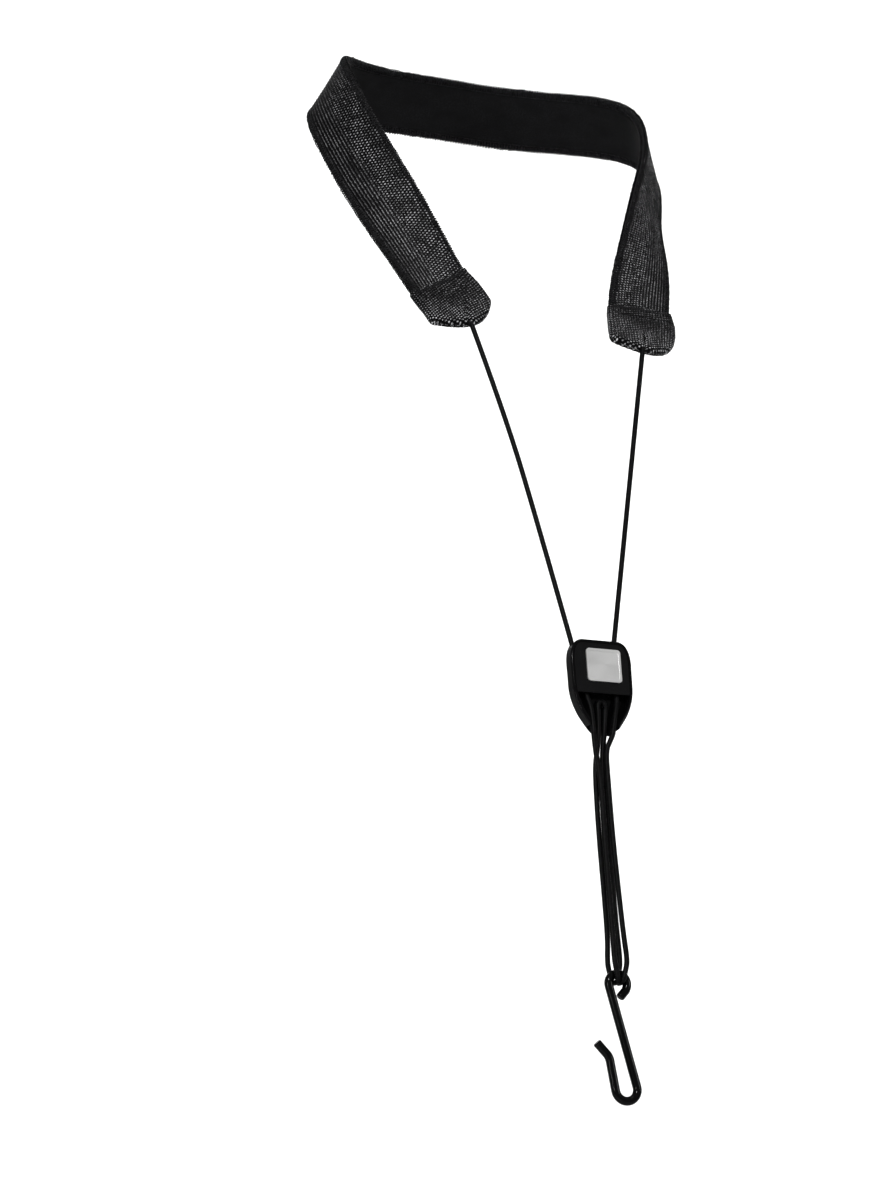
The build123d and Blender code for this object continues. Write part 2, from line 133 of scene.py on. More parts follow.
def on_band(s, w, n):
    """Points at distance s along the band, w across it and n out of its mid-surface."""
    s, w, n = np.broadcast_arrays(np.asarray(s, float), np.asarray(w, float), np.asarray(n, float))
    c, t = MID(s)
    t = unit(t)
    a, _ = ACROSS(s)
    a = unit(a - t * (a * t).sum(-1, keepdims=True))
    return c + a * w[..., None] + np.cross(t, a) * n[..., None]


def at_slider(x, u, n):
    return SLIDER_C + EX * x + EU * u + EN * n


def at_strand(x, d, n):
    return PIVOT + EX * x + DD * d + DN * n


# ------------------------------------------------------------------ mesh helpers
def mesh_object(name, verts, faces, mat, uvs=None, smooth=True, recalc=False):
    """verts in mm; faces and uvs are lists of arrays, one row per face."""
    me = bpy.data.meshes.new(name)
    me.vertices.add(len(verts))
    me.vertices.foreach_set("co", (np.asarray(verts) * MM).astype(np.float32).ravel())
    loops = np.concatenate([np.asarray(f).ravel() for f in faces]).astype(np.int32)
    sizes = np.concatenate([np.full(len(f), np.asarray(f).shape[1]) for f in faces])
    starts = np.concatenate([[0], np.cumsum(sizes)[:-1]]).astype(np.int32)
    me.loops.add(len(loops))
    me.loops.foreach_set("vertex_index", loops)
    me.polygons.add(len(sizes))
    me.polygons.foreach_set("loop_start", starts)
    me.update(calc_edges=True)
    if uvs is not None:
        layer = me.uv_layers.new(name="weave")
        layer.uv.foreach_set("vector", np.concatenate([np.asarray(u, np.float32).reshape(-1, 2) for u in uvs]).ravel())
    me.validate()
    if recalc:
        bm = bmesh.new()
        bm.from_mesh(me)
        bmesh.ops.recalc_face_normals(bm, faces=bm.faces)
        bm.to_mesh(me)
        bm.free()
    me.polygons.foreach_set("use_smooth", np.full(len(me.polygons), smooth))
    me.update()
    if mat is not None:
        me.materials.append(mat)
    ob = bpy.data.objects.new(name, me)
    bpy.context.scene.collection.objects.link(ob)
    return ob


def grid(nr, nc, wrap=False):
    """Quads of a grid of nr rows and nc columns, and each corner's row and column."""
    cols = nc if wrap else nc - 1
    i, j = np.meshgrid(np.arange(nr - 1), np.arange(cols), indexing="ij")
    i, j = i.ravel(), j.ravel()
    ii = np.stack([i, i + 1, i + 1, i], 1)
    jj = np.stack([j, j, j + 1, j + 1], 1)
    return ii * nc + (jj % nc), ii, jj


def spline_line(points, closeness=20):
    """The line of a smooth NURBS curve that has these route points (mm) as its control points."""
    cu = bpy.data.curves.new("route", "CURVE")
    cu.dimensions = "3D"
    cu.resolution_u = closeness
    sp = cu.splines.new("NURBS")
    sp.points.add(len(points) - 1)
    for p, q in zip(sp.points, points):
        p.co = (q[0] * MM, q[1] * MM, q[2] * MM, 1.0)
    sp.order_u = 3
    sp.use_endpoint_u = True
    ob = bpy.data.objects.new("route", cu)
    bpy.context.scene.collection.objects.link(ob)
    me = bpy.data.meshes.new_from_object(ob)
    co = np.empty(len(me.vertices) * 3, np.float32)
    me.vertices.foreach_get("co", co)
    bpy.data.objects.remove(ob)
    bpy.data.curves.remove(cu)
    bpy.data.meshes.remove(me)
    return co.reshape(-1, 3).astype(float) / MM


def evenly(line, step):
    d = np.concatenate([[0], np.cumsum(np.linalg.norm(np.diff(line, axis=0), axis=1))])
    n = max(3, int(round(d[-1] / step)) + 1)
    t = np.linspace(0, d[-1], n)
    return np.stack([np.interp(t, d, line[:, k]) for k in range(3)], 1), t


def carried(line, first=(0.31, -0.2, 0.93)):
    """Directions along a line, and two across it that don't twist."""
    t = unit(np.gradient(line, axis=0))
    u = np.empty_like(line)
    a = np.array(first) - t[0] * np.dot(first, t[0])
    a /= np.linalg.norm(a)
    for i in range(len(line)):
        a = a - t[i] * (a @ t[i])
        a = a / math.sqrt(a @ a)
        u[i] = a
    return t, u, np.cross(t, u)


def tube(name, line, along, radius, around, mat, relief=None, cap=(True, True), first=(0.31, -0.2, 0.93)):
    """A closed tube on a line, with rounded ends and a relief given by angle and distance."""
    t, u, v = carried(line, first)
    rows, dist, rad = [line], [along], [np.full(len(line), radius) if np.isscalar(radius) else radius]
    tt, uu, vv = [t], [u], [v]
    for end in (0, 1):
        k = (0, -1)[end]
        r = rad[0][k] if end == 0 else rad[-1][k]
        steps = (0.35, 0.62, 0.82, 0.95) if cap[end] else (0.02,)
        pts, ds, rr = [], [], []
        for q in steps:
            off = r * q * (-1 if end == 0 else 1)
            pts.append(line[k] + t[k] * off)
            ds.append(along[k] + off)
            rr.append(r * math.sqrt(1 - q * q) if cap[end] else r * 0.6)
        n = len(steps)
        block = (np.array(pts), np.array(ds), np.array(rr), np.repeat(t[k][None], n, 0), np.repeat(u[k][None], n, 0), np.repeat(v[k][None], n, 0))
        if end == 0:
            block = tuple(b[::-1] for b in block)
            rows.insert(0, block[0]); dist.insert(0, block[1]); rad.insert(0, block[2])
            tt.insert(0, block[3]); uu.insert(0, block[4]); vv.insert(0, block[5])
        else:
            rows.append(block[0]); dist.append(block[1]); rad.append(block[2])
            tt.append(block[3]); uu.append(block[4]); vv.append(block[5])
    P, D, R = np.concatenate(rows), np.concatenate(dist), np.concatenate(rad)
    U, V = np.concatenate(uu), np.concatenate(vv)
    th = np.arange(around) / around * 2 * math.pi
    rr = R[:, None] + np.zeros(around)
    if relief is not None:
        fade = np.clip(R / np.max(R), 0, 1)[:, None]
        rr = rr + relief(th[None, :], D[:, None]) * fade
    verts = P[:, None, :] + rr[..., None] * (np.cos(th)[None, :, None] * U[:, None, :] + np.sin(th)[None, :, None] * V[:, None, :])
    nr = len(P)
    q, ii, jj = grid(nr, around, wrap=True)
    uv = np.stack([D[ii], jj / around], -1)
    poles = np.array([P[0] + (P[0] - P[1]) * 0.12, P[-1] + (P[-1] - P[-2]) * 0.12])
    base = nr * around
    j = np.arange(around)
    f0 = np.stack([np.full(around, base), j, (j + 1) % around], 1)
    f1 = np.stack([np.full(around, base + 1), (nr - 1) * around + (j + 1) % around, (nr - 1) * around + j], 1)
    u0 = np.stack([np.stack([np.full(around, D[0]), (j + .5) / around], -1), np.stack([np.full(around, D[0]), j / around], -1), np.stack([np.full(around, D[0]), (j + 1) / around], -1)], 1)
    u1 = np.stack([np.stack([np.full(around, D[-1]), (j + .5) / around], -1), np.stack([np.full(around, D[-1]), (j + 1) / around], -1), np.stack([np.full(around, D[-1]), j / around], -1)], 1)
    return mesh_object(name, np.concatenate([verts.reshape(-1, 3), poles]), [q[:, ::-1], f0[:, ::-1], f1[:, ::-1]], mat,
                       [uv[:, ::-1], u0[:, ::-1], u1[:, ::-1]])


# ------------------------------------------------------------------ materials
def material(name, base, rough, metallic=0.0, sheen=0.0, sheen_rough=0.5, coat=0.0, coat_rough=0.05, spec=0.5, aniso=0.0, sheen_tint=(1, 1, 1)):
    m = bpy.data.materials.new(name)
    m.use_nodes = True
    nt = m.node_tree
    b = nt.nodes["Principled BSDF"]
    b.inputs["Base Color"].default_value = (*base, 1)
    b.inputs["Roughness"].default_value = rough
    b.inputs["Metallic"].default_value = metallic
    b.inputs["Sheen Weight"].default_value = sheen
    b.inputs["Sheen Roughness"].default_value = sheen_rough
    b.inputs["Sheen Tint"].default_value = (*sheen_tint, 1)
    b.inputs["Coat Weight"].default_value = coat
    b.inputs["Coat Roughness"].default_value = coat_rough
    b.inputs["Specular IOR Level"].default_value = spec
    b.inputs["Anisotropic"].default_value = aniso
    return m, nt, b


def add(nt, kind, **sets):
    n = nt.nodes.new(kind)
    for k, v in sets.items():
        if k.startswith("in_"):
            n.inputs[k[3:].replace("_", " ")].default_value = v
        else:
            setattr(n, k, v)
    return n


def coords(nt, scale, uv=True, rotation=(0, 0, 0)):
    if uv:
        src = add(nt, "ShaderNodeUVMap", uv_map="weave").outputs[0]
    else:
        src = add(nt, "ShaderNodeTexCoord").outputs["Object"]
    mp = add(nt, "ShaderNodeMapping")
    mp.inputs["Scale"].default_value = scale
    mp.inputs["Rotation"].default_value = rotation
    nt.links.new(src, mp.inputs["Vector"])
    return mp.outputs[0]


def noise(nt, vec, scale=1.0, detail=3.0, rough=0.5):
    n = add(nt, "ShaderNodeTexNoise")
    n.inputs["Scale"].default_value = scale
    n.inputs["Detail"].default_value = detail
    n.inputs["Roughness"].default_value = rough
    nt.links.new(vec, n.inputs["Vector"])
    return n.outputs["Fac"]


def spread_to(nt, fac, lo, hi, f0=0.3, f1=0.7):
    m = add(nt, "ShaderNodeMapRange")
    m.inputs["From Min"].default_value, m.inputs["From Max"].default_value = f0, f1
    m.inputs["To Min"].default_value, m.inputs["To Max"].default_value = lo, hi
    nt.links.new(fac, m.inputs["Value"])
    return m.outputs[0]


def mix_colour(nt, fac, a, b):
    m = add(nt, "ShaderNodeMix", data_type="RGBA")
    m.inputs["A"].default_value, m.inputs["B"].default_value = (*a, 1), (*b, 1)
    for s in m.inputs:
        if s.name == "A" and s.type == "RGBA":
            s.default_value = (*a, 1)
        if s.name == "B" and s.type == "RGBA":
            s.default_value = (*b, 1)
    nt.links.new(fac, m.inputs["Factor"])
    return [o for o in m.outputs if o.type == "RGBA"][0]


def bump(nt, b, height, strength, distance, after=None):
    n = add(nt, "ShaderNodeBump")
    n.inputs["Strength"].default_value = strength
    n.inputs["Distance"].default_value = distance
    nt.links.new(height, n.inputs["Height"])
    if after is not None:
        nt.links.new(after, n.inputs["Normal"])
    nt.links.new(n.outputs[0], b.inputs["Normal"])
    return n.outputs[0]


def math_node(nt, op, *ins):
    n = add(nt, "ShaderNodeMath", operation=op)
    for k, v in enumerate(ins):
        if isinstance(v, (int, float)):
            n.inputs[k].default_value = v
        else:
            nt.links.new(v, n.inputs[k])
    return n.outputs[0]


def weave_glint_mask(nt, float_len, rib, s0, w0, lines_from=None, lines_to=None):
    """Painted highlight mask: 1 on the top of each float of the weave, where painted glints go, and 0 between them.
    Across the band it can change over to painted glint lines along the unbroken tops of the ribs."""
    sep = add(nt, "ShaderNodeSeparateXYZ")
    nt.links.new(add(nt, "ShaderNodeUVMap", uv_map="weave").outputs[0], sep.inputs[0])
    s, w = sep.outputs[0], sep.outputs[1]
    cs = math_node(nt, "COSINE", math_node(nt, "MULTIPLY_ADD", s, math.pi / float_len, -math.pi * s0 / float_len))
    cw = math_node(nt, "COSINE", math_node(nt, "MULTIPLY_ADD", w, math.pi / rib, -math.pi * w0 / rib))
    float_glints = spread_to(nt, math_node(nt, "MULTIPLY", cs, cw), 0.0, 1.35, 0.30, 0.85)
    if lines_from is None:
        return float_glints, s, w
    painted_glint_mask = spread_to(nt, math_node(nt, "MULTIPLY", cw, cw), 0.0, 0.52, 0.60, 0.97)
    f = spread_to(nt, w, 0.0, 1.0, lines_from, lines_to)
    # painted glint lines fade out from w 10 to 13.5 mm, towards the outer edge
    back = spread_to(nt, w, 1.0, 0.25, 10.0, 13.5)
    one = math_node(nt, "SUBTRACT", 1.0, f)
    # painted glints: dots on the floats, changing over to lines along the ribs
    both = math_node(nt, "ADD", math_node(nt, "MULTIPLY", float_glints, one), math_node(nt, "MULTIPLY", math_node(nt, "MULTIPLY", painted_glint_mask, f), back))
    return both, s, w


def woven(name, dark, light, rough, sheen, fibre, strength, spec=0.5, mask=None, lift=None, pick=(0.40, 0.66)):
    """Yarn: fine fibres along the thread, and a second colour that changes from float to float: painted highlight
    (glints) on the float tops where that colour is near-white, random tone where it is close to the dark colour.
    """
    m, nt, b = material(name, dark, rough, sheen=sheen, sheen_rough=0.45, spec=spec)
    patches = noise(nt, coords(nt, (0.07, 0.13, 1)), 1.0, 2.0)
    tone_and_glint_flecks = noise(nt, coords(nt, (1.3, 1.7, 1)), 1.0, 1.0)
    tone_and_glint_amount = spread_to(nt, tone_and_glint_flecks, 0.0, 1.0, *pick)
    tone_and_glint_amount = math_node(nt, "MULTIPLY", tone_and_glint_amount, spread_to(nt, patches, 0.35, 1.25, 0.3, 0.65))
    if mask is not None:
        painted_glint_mask, s, w = weave_glint_mask(nt, *mask)
        # lift: the painted glints grow brighter with distance along the band, from lift[0] to lift[1] mm
        if lift is not None:
            painted_glint_ramp = spread_to(nt, math_node(nt, "ABSOLUTE", s), lift[2], lift[3], lift[0], lift[1])
            tone_and_glint_amount = math_node(nt, "MULTIPLY", tone_and_glint_amount, painted_glint_ramp)
        tone_and_glint_amount = math_node(nt, "MULTIPLY", painted_glint_mask, math_node(nt, "ADD", math_node(nt, "MULTIPLY", tone_and_glint_amount, 0.9), 0.02))
    # base colour: the light colour is painted highlight on the webbing and tab, random tone on lining, thread and cord
    nt.links.new(mix_colour(nt, tone_and_glint_amount, dark, light), b.inputs["Base Color"])
    nt.links.new(spread_to(nt, tone_and_glint_flecks, rough - 0.08, rough + 0.14), b.inputs["Roughness"])
    fine = noise(nt, coords(nt, fibre), 1.0, 3.0, 0.6)
    bump(nt, b, fine, strength, 0.00009)
    return m


RIB = 31.5 / 19
# webbing and tab: near-white painted glints on the float tops, brighter further along the band
M_WEB = woven("webbing_black", (0.0012, 0.0012, 0.0014), (0.80, 0.80, 0.83), 0.30, 0.0, (1.1, 9.0, 1), 0.5, 0.08,
              mask=(0.8, RIB, -267.2, -15.75 + RIB / 2, -1.0, 3.5), lift=(95.0, 215.0, 0.4, 1.25), pick=(0.44, 0.64))
M_TAB = woven("tab_webbing_black", (0.0012, 0.0012, 0.0014), (0.88, 0.88, 0.91), 0.30, 0.0, (1.1, 9.0, 1), 0.5, 0.08,
              mask=(0.78, 30.4 / 22, 0.0, 15.2 / 22), lift=(262.0, 276.0, 0.35, 1.3), pick=(0.43, 0.62))
M_LIN = woven("lining_jersey_black", (0.004, 0.004, 0.0044), (0.012, 0.012, 0.0135), 0.75, 0.03, (3.2, 3.2, 1), 0.8, 0.12)
M_THR = woven("thread_black", (0.0018, 0.0018, 0.002), (0.030, 0.030, 0.033), 0.34, 0.0, (2.5, 26.0, 1), 0.5, 0.14)
M_CORD = woven("cord_black", (0.0014, 0.0014, 0.0016), (0.006, 0.006, 0.0066), 0.40, 0.0, (3.0, 30.0, 1), 0.5, 0.10)


def make_foam():
    m, nt, b = material("foam_charcoal", (0.03, 0.03, 0.032), 0.95, spec=0.2)
    v = add(nt, "ShaderNodeTexVoronoi")
    v.inputs["Scale"].default_value = 2.2
    nt.links.new(coords(nt, (1, 1, 1)), v.inputs["Vector"])
    nt.links.new(mix_colour(nt, v.outputs["Distance"], (0.018, 0.018, 0.019), (0.05, 0.05, 0.053)), b.inputs["Base Color"])
    bump(nt, b, v.outputs["Distance"], 0.8, 0.0002)
    return m


def make_gloss(name, base, rough, coat, spec):
    """Moulded plastic with a polished skin, faint flow marks and handling scuffs."""
    m, nt, b = material(name, base, rough, coat=coat, coat_rough=0.06, spec=spec)
    wide = noise(nt, coords(nt, (90, 90, 90), uv=False), 1.0, 3.0)
    scuff = noise(nt, coords(nt, (350, 2600, 350), uv=False, rotation=(0.4, 0.7, 0.3)), 1.0, 5.0, 0.65)
    mul = add(nt, "ShaderNodeMath", operation="MULTIPLY")
    nt.links.new(wide, mul.inputs[0])
    nt.links.new(scuff, mul.inputs[1])
    nt.links.new(spread_to(nt, mul.outputs[0], rough * 0.75, rough + 0.13, 0.16, 0.46), b.inputs["Roughness"])
    nt.links.new(mix_colour(nt, wide, tuple(c * 0.8 for c in base), tuple(c * 1.5 for c in base)), b.inputs["Base Color"])
    peel = noise(nt, coords(nt, (420, 420, 420), uv=False), 1.0, 2.0)
    bump(nt, b, peel, 0.12, 0.00006)
    return m


def make_panel():
    m, nt, b = material("panel_spark_texture_black", (0.003, 0.003, 0.0033), 0.44, spec=0.13)
    grain = noise(nt, coords(nt, (3600, 3600, 3600), uv=False), 1.0, 2.0, 0.6)
    wide = noise(nt, coords(nt, (160, 160, 160), uv=False), 1.0, 2.0)
    nt.links.new(mix_colour(nt, wide, (0.0022, 0.0022, 0.0025), (0.0055, 0.0055, 0.006)), b.inputs["Base Color"])
    nt.links.new(spread_to(nt, grain, 0.36, 0.60), b.inputs["Roughness"])
    bump(nt, b, grain, 0.5, 0.00005)
    return m


def make_plaque():
    m, nt, b = material("plaque_satin_silver", (0.92, 0.92, 0.91), 0.34, metallic=0.6, aniso=0.3)
    lines = noise(nt, coords(nt, (220, 9000, 9000), uv=False), 1.0, 4.0, 0.6)
    wide = noise(nt, coords(nt, (200, 200, 200), uv=False), 1.0, 2.0)
    nt.links.new(mix_colour(nt, wide, (0.88, 0.88, 0.87), (0.97, 0.97, 0.96)), b.inputs["Base Color"])
    nt.links.new(spread_to(nt, lines, 0.28, 0.46), b.inputs["Roughness"])
    bump(nt, b, lines, 0.25, 0.00002)
    return m


def make_steel():
    m, nt, b = material("steel_wire", (0.55, 0.55, 0.56), 0.3, metallic=1.0)
    f = noise(nt, coords(nt, (900, 900, 900), uv=False), 1.0, 3.0)
    nt.links.new(spread_to(nt, f, 0.22, 0.42), b.inputs["Roughness"])
    nt.links.new(mix_colour(nt, f, (0.45, 0.45, 0.46), (0.62, 0.62, 0.63)), b.inputs["Base Color"])
    return m


M_FOAM = make_foam()
M_SLIDER = make_gloss("slider_gloss_black", (0.002, 0.002, 0.0023), 0.12, 0.0, 0.13)
M_COAT = make_gloss("hook_coating_gloss_black", (0.0018, 0.0018, 0.002), 0.11, 0.0, 0.15)
M_PANEL = make_panel()
M_PLAQUE = make_plaque()
M_STEEL = make_steel()


# ------------------------------------------------------------------ band
def strip_solid(name, s, w, top, bottom, mat, body="band"):
    """A strip along the band: a fine grid of heights on one face, one flat run of quads on the other, closed at its sides and ends."""
    nr, nc = len(s), len(w)
    V = on_band(s[:, None], w[None, :], top)
    lo = on_band(s[:, None], np.array([w[0], w[-1]])[None, :], bottom)
    verts = np.concatenate([V.reshape(-1, 3), lo.reshape(-1, 3)])
    q, ii, jj = grid(nr, nc)
    uv = np.stack([s[ii], w[jj]], -1)
    base = nr * nc
    i = np.arange(nr - 1)
    L = lambda r: base + 2 * r
    R = lambda r: base + 2 * r + 1
    left = np.stack([i * nc, L(i), L(i + 1), (i + 1) * nc], 1)
    right = np.stack([i * nc + nc - 1, (i + 1) * nc + nc - 1, R(i + 1), R(i)], 1)
    under = np.stack([L(i), R(i), R(i + 1), L(i + 1)], 1)
    cap0 = np.concatenate([np.arange(nc), [R(0), L(0)]])[None, :]
    cap1 = np.concatenate([(nr - 1) * nc + np.arange(nc)[::-1], [L(nr - 1), R(nr - 1)]])[None, :]

    def uv_of(idx):
        idx = np.asarray(idx)
        row = np.where(idx < base, idx // nc, (idx - base) // 2)
        col = np.where(idx < base, w[np.minimum(idx % nc, nc - 1)], np.where((idx - base) % 2 == 0, w[0], w[-1]))
        return np.stack([s[row], col], -1)

    faces = [q, left, right, under, cap0, cap1]
    ob = mesh_object(name, verts, faces, mat, [uv] + [uv_of(f) for f in faces[1:]], recalc=True)
    return ob


# outer webbing: lengthwise ribs, each a row of small floats, neighbours half a float apart
RIBS, PER, FLOAT = 19, 6, 1.6
s_web = np.arange(-267.2, 267.21, FLOAT / 2)
j = np.arange(RIBS * PER + 1)
w_web = -15.75 + 31.5 * j / (RIBS * PER)
rib_profile = np.array([-0.26, -0.02, 0.09, 0.13, 0.09, -0.02])[j % PER]
rib_weight = np.array([0.1, 0.5, 0.85, 1.0, 0.85, 0.5])[j % PER]
rib_no = j // PER
sign = np.where((np.arange(len(s_web))[:, None] + rib_no[None, :]) % 2 == 0, 1.0, -1.0)
shade = np.clip(np.interp(np.abs(w_web), [0, 12.5, 15.75], [1.0, 1.0, 0.35]), 0, 1)
soft = rng.normal(0, 1, (len(s_web) // 3 + 2, len(w_web) // 6 + 2))
soft = np.kron(soft, np.ones((3, 6)))[: len(s_web), : len(w_web)]
top = N_OUT - 0.12 + 0.10 * (1 - (w_web / H) ** 2)[None, :] + (rib_profile * shade)[None, :] \
    + 0.16 * sign * (rib_weight * shade)[None, :] + 0.018 * soft
drop = np.clip((np.abs(w_web) - 13.0) / 2.75, 0, 1) ** 2
top = top - 0.62 * drop[None, :]
web = strip_solid("band_outer_webbing", s_web, w_web, top, 0.56, M_WEB)
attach(web, "band")
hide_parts("band_face")

# inner lining: flat jersey, puckered where the edge stitching pulls it
s_lin = np.arange(-267.4, 267.41, 0.7)
w_lin = np.linspace(-15.7, 15.7, 41)
pull = np.exp(-((np.abs(w_lin) - 12.9) / 0.9) ** 2)
wale = 0.035 * np.where(np.arange(len(w_lin)) % 2 == 0, 1, -1)
drop = np.clip((np.abs(w_lin) - 13.0) / 2.7, 0, 1) ** 2
low = N_IN + 0.13 + wale[None, :] * np.ones((len(s_lin), 1)) + (0.17 * pull)[None, :] * (0.6 + 0.4 * np.sin(2 * math.pi * s_lin[:, None] / 2.9)) \
    + 0.03 * np.sin(s_lin[:, None] * 0.41 + w_lin[None, :] * 0.33) + 0.55 * drop[None, :]
lin = strip_solid("band_inner_lining", s_lin, w_lin, low, -0.98, M_LIN)
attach(lin, "band")
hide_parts("band_lining")

# foam between them, rounded along its sides
s_pad = np.arange(-267.0, 267.1, 3.0)
ang = np.linspace(0, 2 * math.pi, 28, endpoint=False)
pw = 15.3 * np.sign(np.cos(ang)) * np.abs(np.cos(ang)) ** 0.42
pn = -0.21 + 0.68 * np.sign(np.sin(ang)) * np.abs(np.sin(ang)) ** 0.5
V = on_band(s_pad[:, None], pw[None, :], pn[None, :] + 0.04 * np.sin(s_pad * 0.37)[:, None])
q, ii, jj = grid(len(s_pad), len(ang), wrap=True)
uvq = np.stack([s_pad[ii], jj * 2.3], -1)
ends = [np.arange(len(ang))[None, ::-1], ((len(s_pad) - 1) * len(ang) + np.arange(len(ang)))[None, :]]
pad = mesh_object("band_padding_foam", V.reshape(-1, 3), [q, *ends], M_FOAM,
                  [uvq, np.stack([pw[::-1], pn[::-1]], -1)[None], np.stack([pw, pn], -1)[None]], recalc=True)
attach(pad, "band")
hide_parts("band_padding")

# overlock along each edge: two looper threads that zigzag over the faces and lock round the edge, and a needle line
PITCH = 1.45


def join(name, parts, mat):
    """One object out of several meshes of the same material."""
    bm = bmesh.new()
    for p in parts:
        bm.from_mesh(p.data)
    me = bpy.data.meshes.new(name)
    bm.to_mesh(me)
    bm.free()
    me.materials.append(mat)
    for p in parts:
        d = p.data
        bpy.data.objects.remove(p)
        bpy.data.meshes.remove(d)
    ob = bpy.data.objects.new(name, me)
    bpy.context.scene.collection.objects.link(ob)
    me.polygons.foreach_set("use_smooth", np.full(len(me.polygons), True))
    return ob


def cumulative(P):
    return np.concatenate([[0], np.cumsum(np.linalg.norm(np.diff(P, axis=0), axis=1))])


def overlock(name, sg, s0, s1):
    parts = []
    loops = int((s1 - s0) / PITCH)
    per = 10
    k = np.arange(loops * per + 1)
    f = (k % per) / per
    which = k // per
    wild = rng.normal(0, 1, (loops + 2, 3))
    for face, ph in ((1, 0.0), (-1, 0.5)):
        f2 = (f + ph) % 1.0
        tri = (1 - np.cos(2 * math.pi * f2)) / 2
        tri = tri ** 0.9
        inner = 13.15 + 0.14 * wild[which, 0]
        outer = 16.42 + 0.12 * wild[which, 1]
        w = inner + (outer - inner) * tri
        lift = 1.86 + 0.04 * wild[which, 2]
        bend = np.clip((w - 14.7) / (outer + 0.02 - 14.7), 0, 1)
        n = 0.18 + (lift - 0.18) * np.sqrt(np.maximum(0, 1 - bend ** 2.2))
        dip = np.clip((inner + 0.45 - w) / 0.45, 0, 1)
        n = n - 0.45 * dip
        s = s0 + k / per * PITCH
        P = on_band(s, sg * w, face * n)
        parts.append(tube(name + "_l%d" % face, P, cumulative(P), 0.255, 6, None))
    # needle line just inside the loops
    stitch = 2.9
    m = int((s1 - s0) / stitch)
    k = np.arange(m * 8 + 1)
    f = (k % 8) / 8
    up = np.clip(1.25 * np.sin(math.pi * f), 0, 1)
    for face in (1, -1):
        s = s0 + k / 8 * stitch
        P = on_band(s, sg * 12.75 + 0 * s, face * (1.36 + 0.40 * up))
        parts.append(tube(name + "_n%d" % face, P, cumulative(P), 0.19, 5, None))
    ob = join(name, parts, M_THR)
    return ob


for nm, sg, node in (("overlock_neck_edge", -1, "edge_stitching_neck_side"), ("overlock_outer_edge", 1, "edge_stitching_outer_side")):
    ob = overlock(nm, sg, -257.6, 257.6)
    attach(ob, "band")
    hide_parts(node)


# ------------------------------------------------------------------ end tabs
def tab_end_left(w):
    return np.interp(w, [-17.1, -16.6, -15.0, -11, -4, 0, 4, 8, 12, 15, 16.6, 17.1],
                     [282.0, 284.1, 285.6, 286.2, 286.2, 285.6, 284.6, 282.9, 280.4, 277.3, 274.2, 271.6])


def tab_end_right(w):
    return np.interp(w, [-17.1, -16.4, -14.5, -12.4, -9.1, -6.2, -3.7, 0.0, 3.0, 9.5, 14.5, 16.4, 17.1],
                     [267.6, 271.0, 274.8, 277.4, 280.2, 281.7, 282.4, 282.5, 282.0, 280.3, 278.4, 277.2, 275.0])


def tab_mouth(side, w):
    """Where the sleeve begins: square on one strap end, slanting on the other."""
    if side == 1:
        return np.interp(w, [-17, 17], [257.6, 244.5])
    return np.interp(w, [-17, 17], [246.0, 255.4])


def tab_width(side, S, w):
    """How much wider than nominal the sleeve flares at its two sides."""
    if side == 1:
        neck = np.interp(S, [252, 262, 284], [1.0, 1.04, 1.08])
        outer = np.interp(S, [243.5, 247, 253, 262, 269, 276, 284], [1.0, 1.09, 1.17, 1.16, 1.07, 0.99, 0.98])
    else:
        neck = np.interp(S, [244, 248, 254, 262, 268, 276, 284], [1.0, 1.05, 1.15, 1.20, 1.18, 1.08, 1.05])
        outer = np.interp(S, [252, 258, 268, 284], [1.02, 1.04, 0.99, 0.97])
    t = np.clip(w / 6.0, -1, 1) * 0.5 + 0.5
    return neck * (1 - t) + outer * t


GROOVE = {1: ((274.0, -0.4), (284.4, 0.1)), -1: ((267.5, -5.2), (284.4, 0.1))}


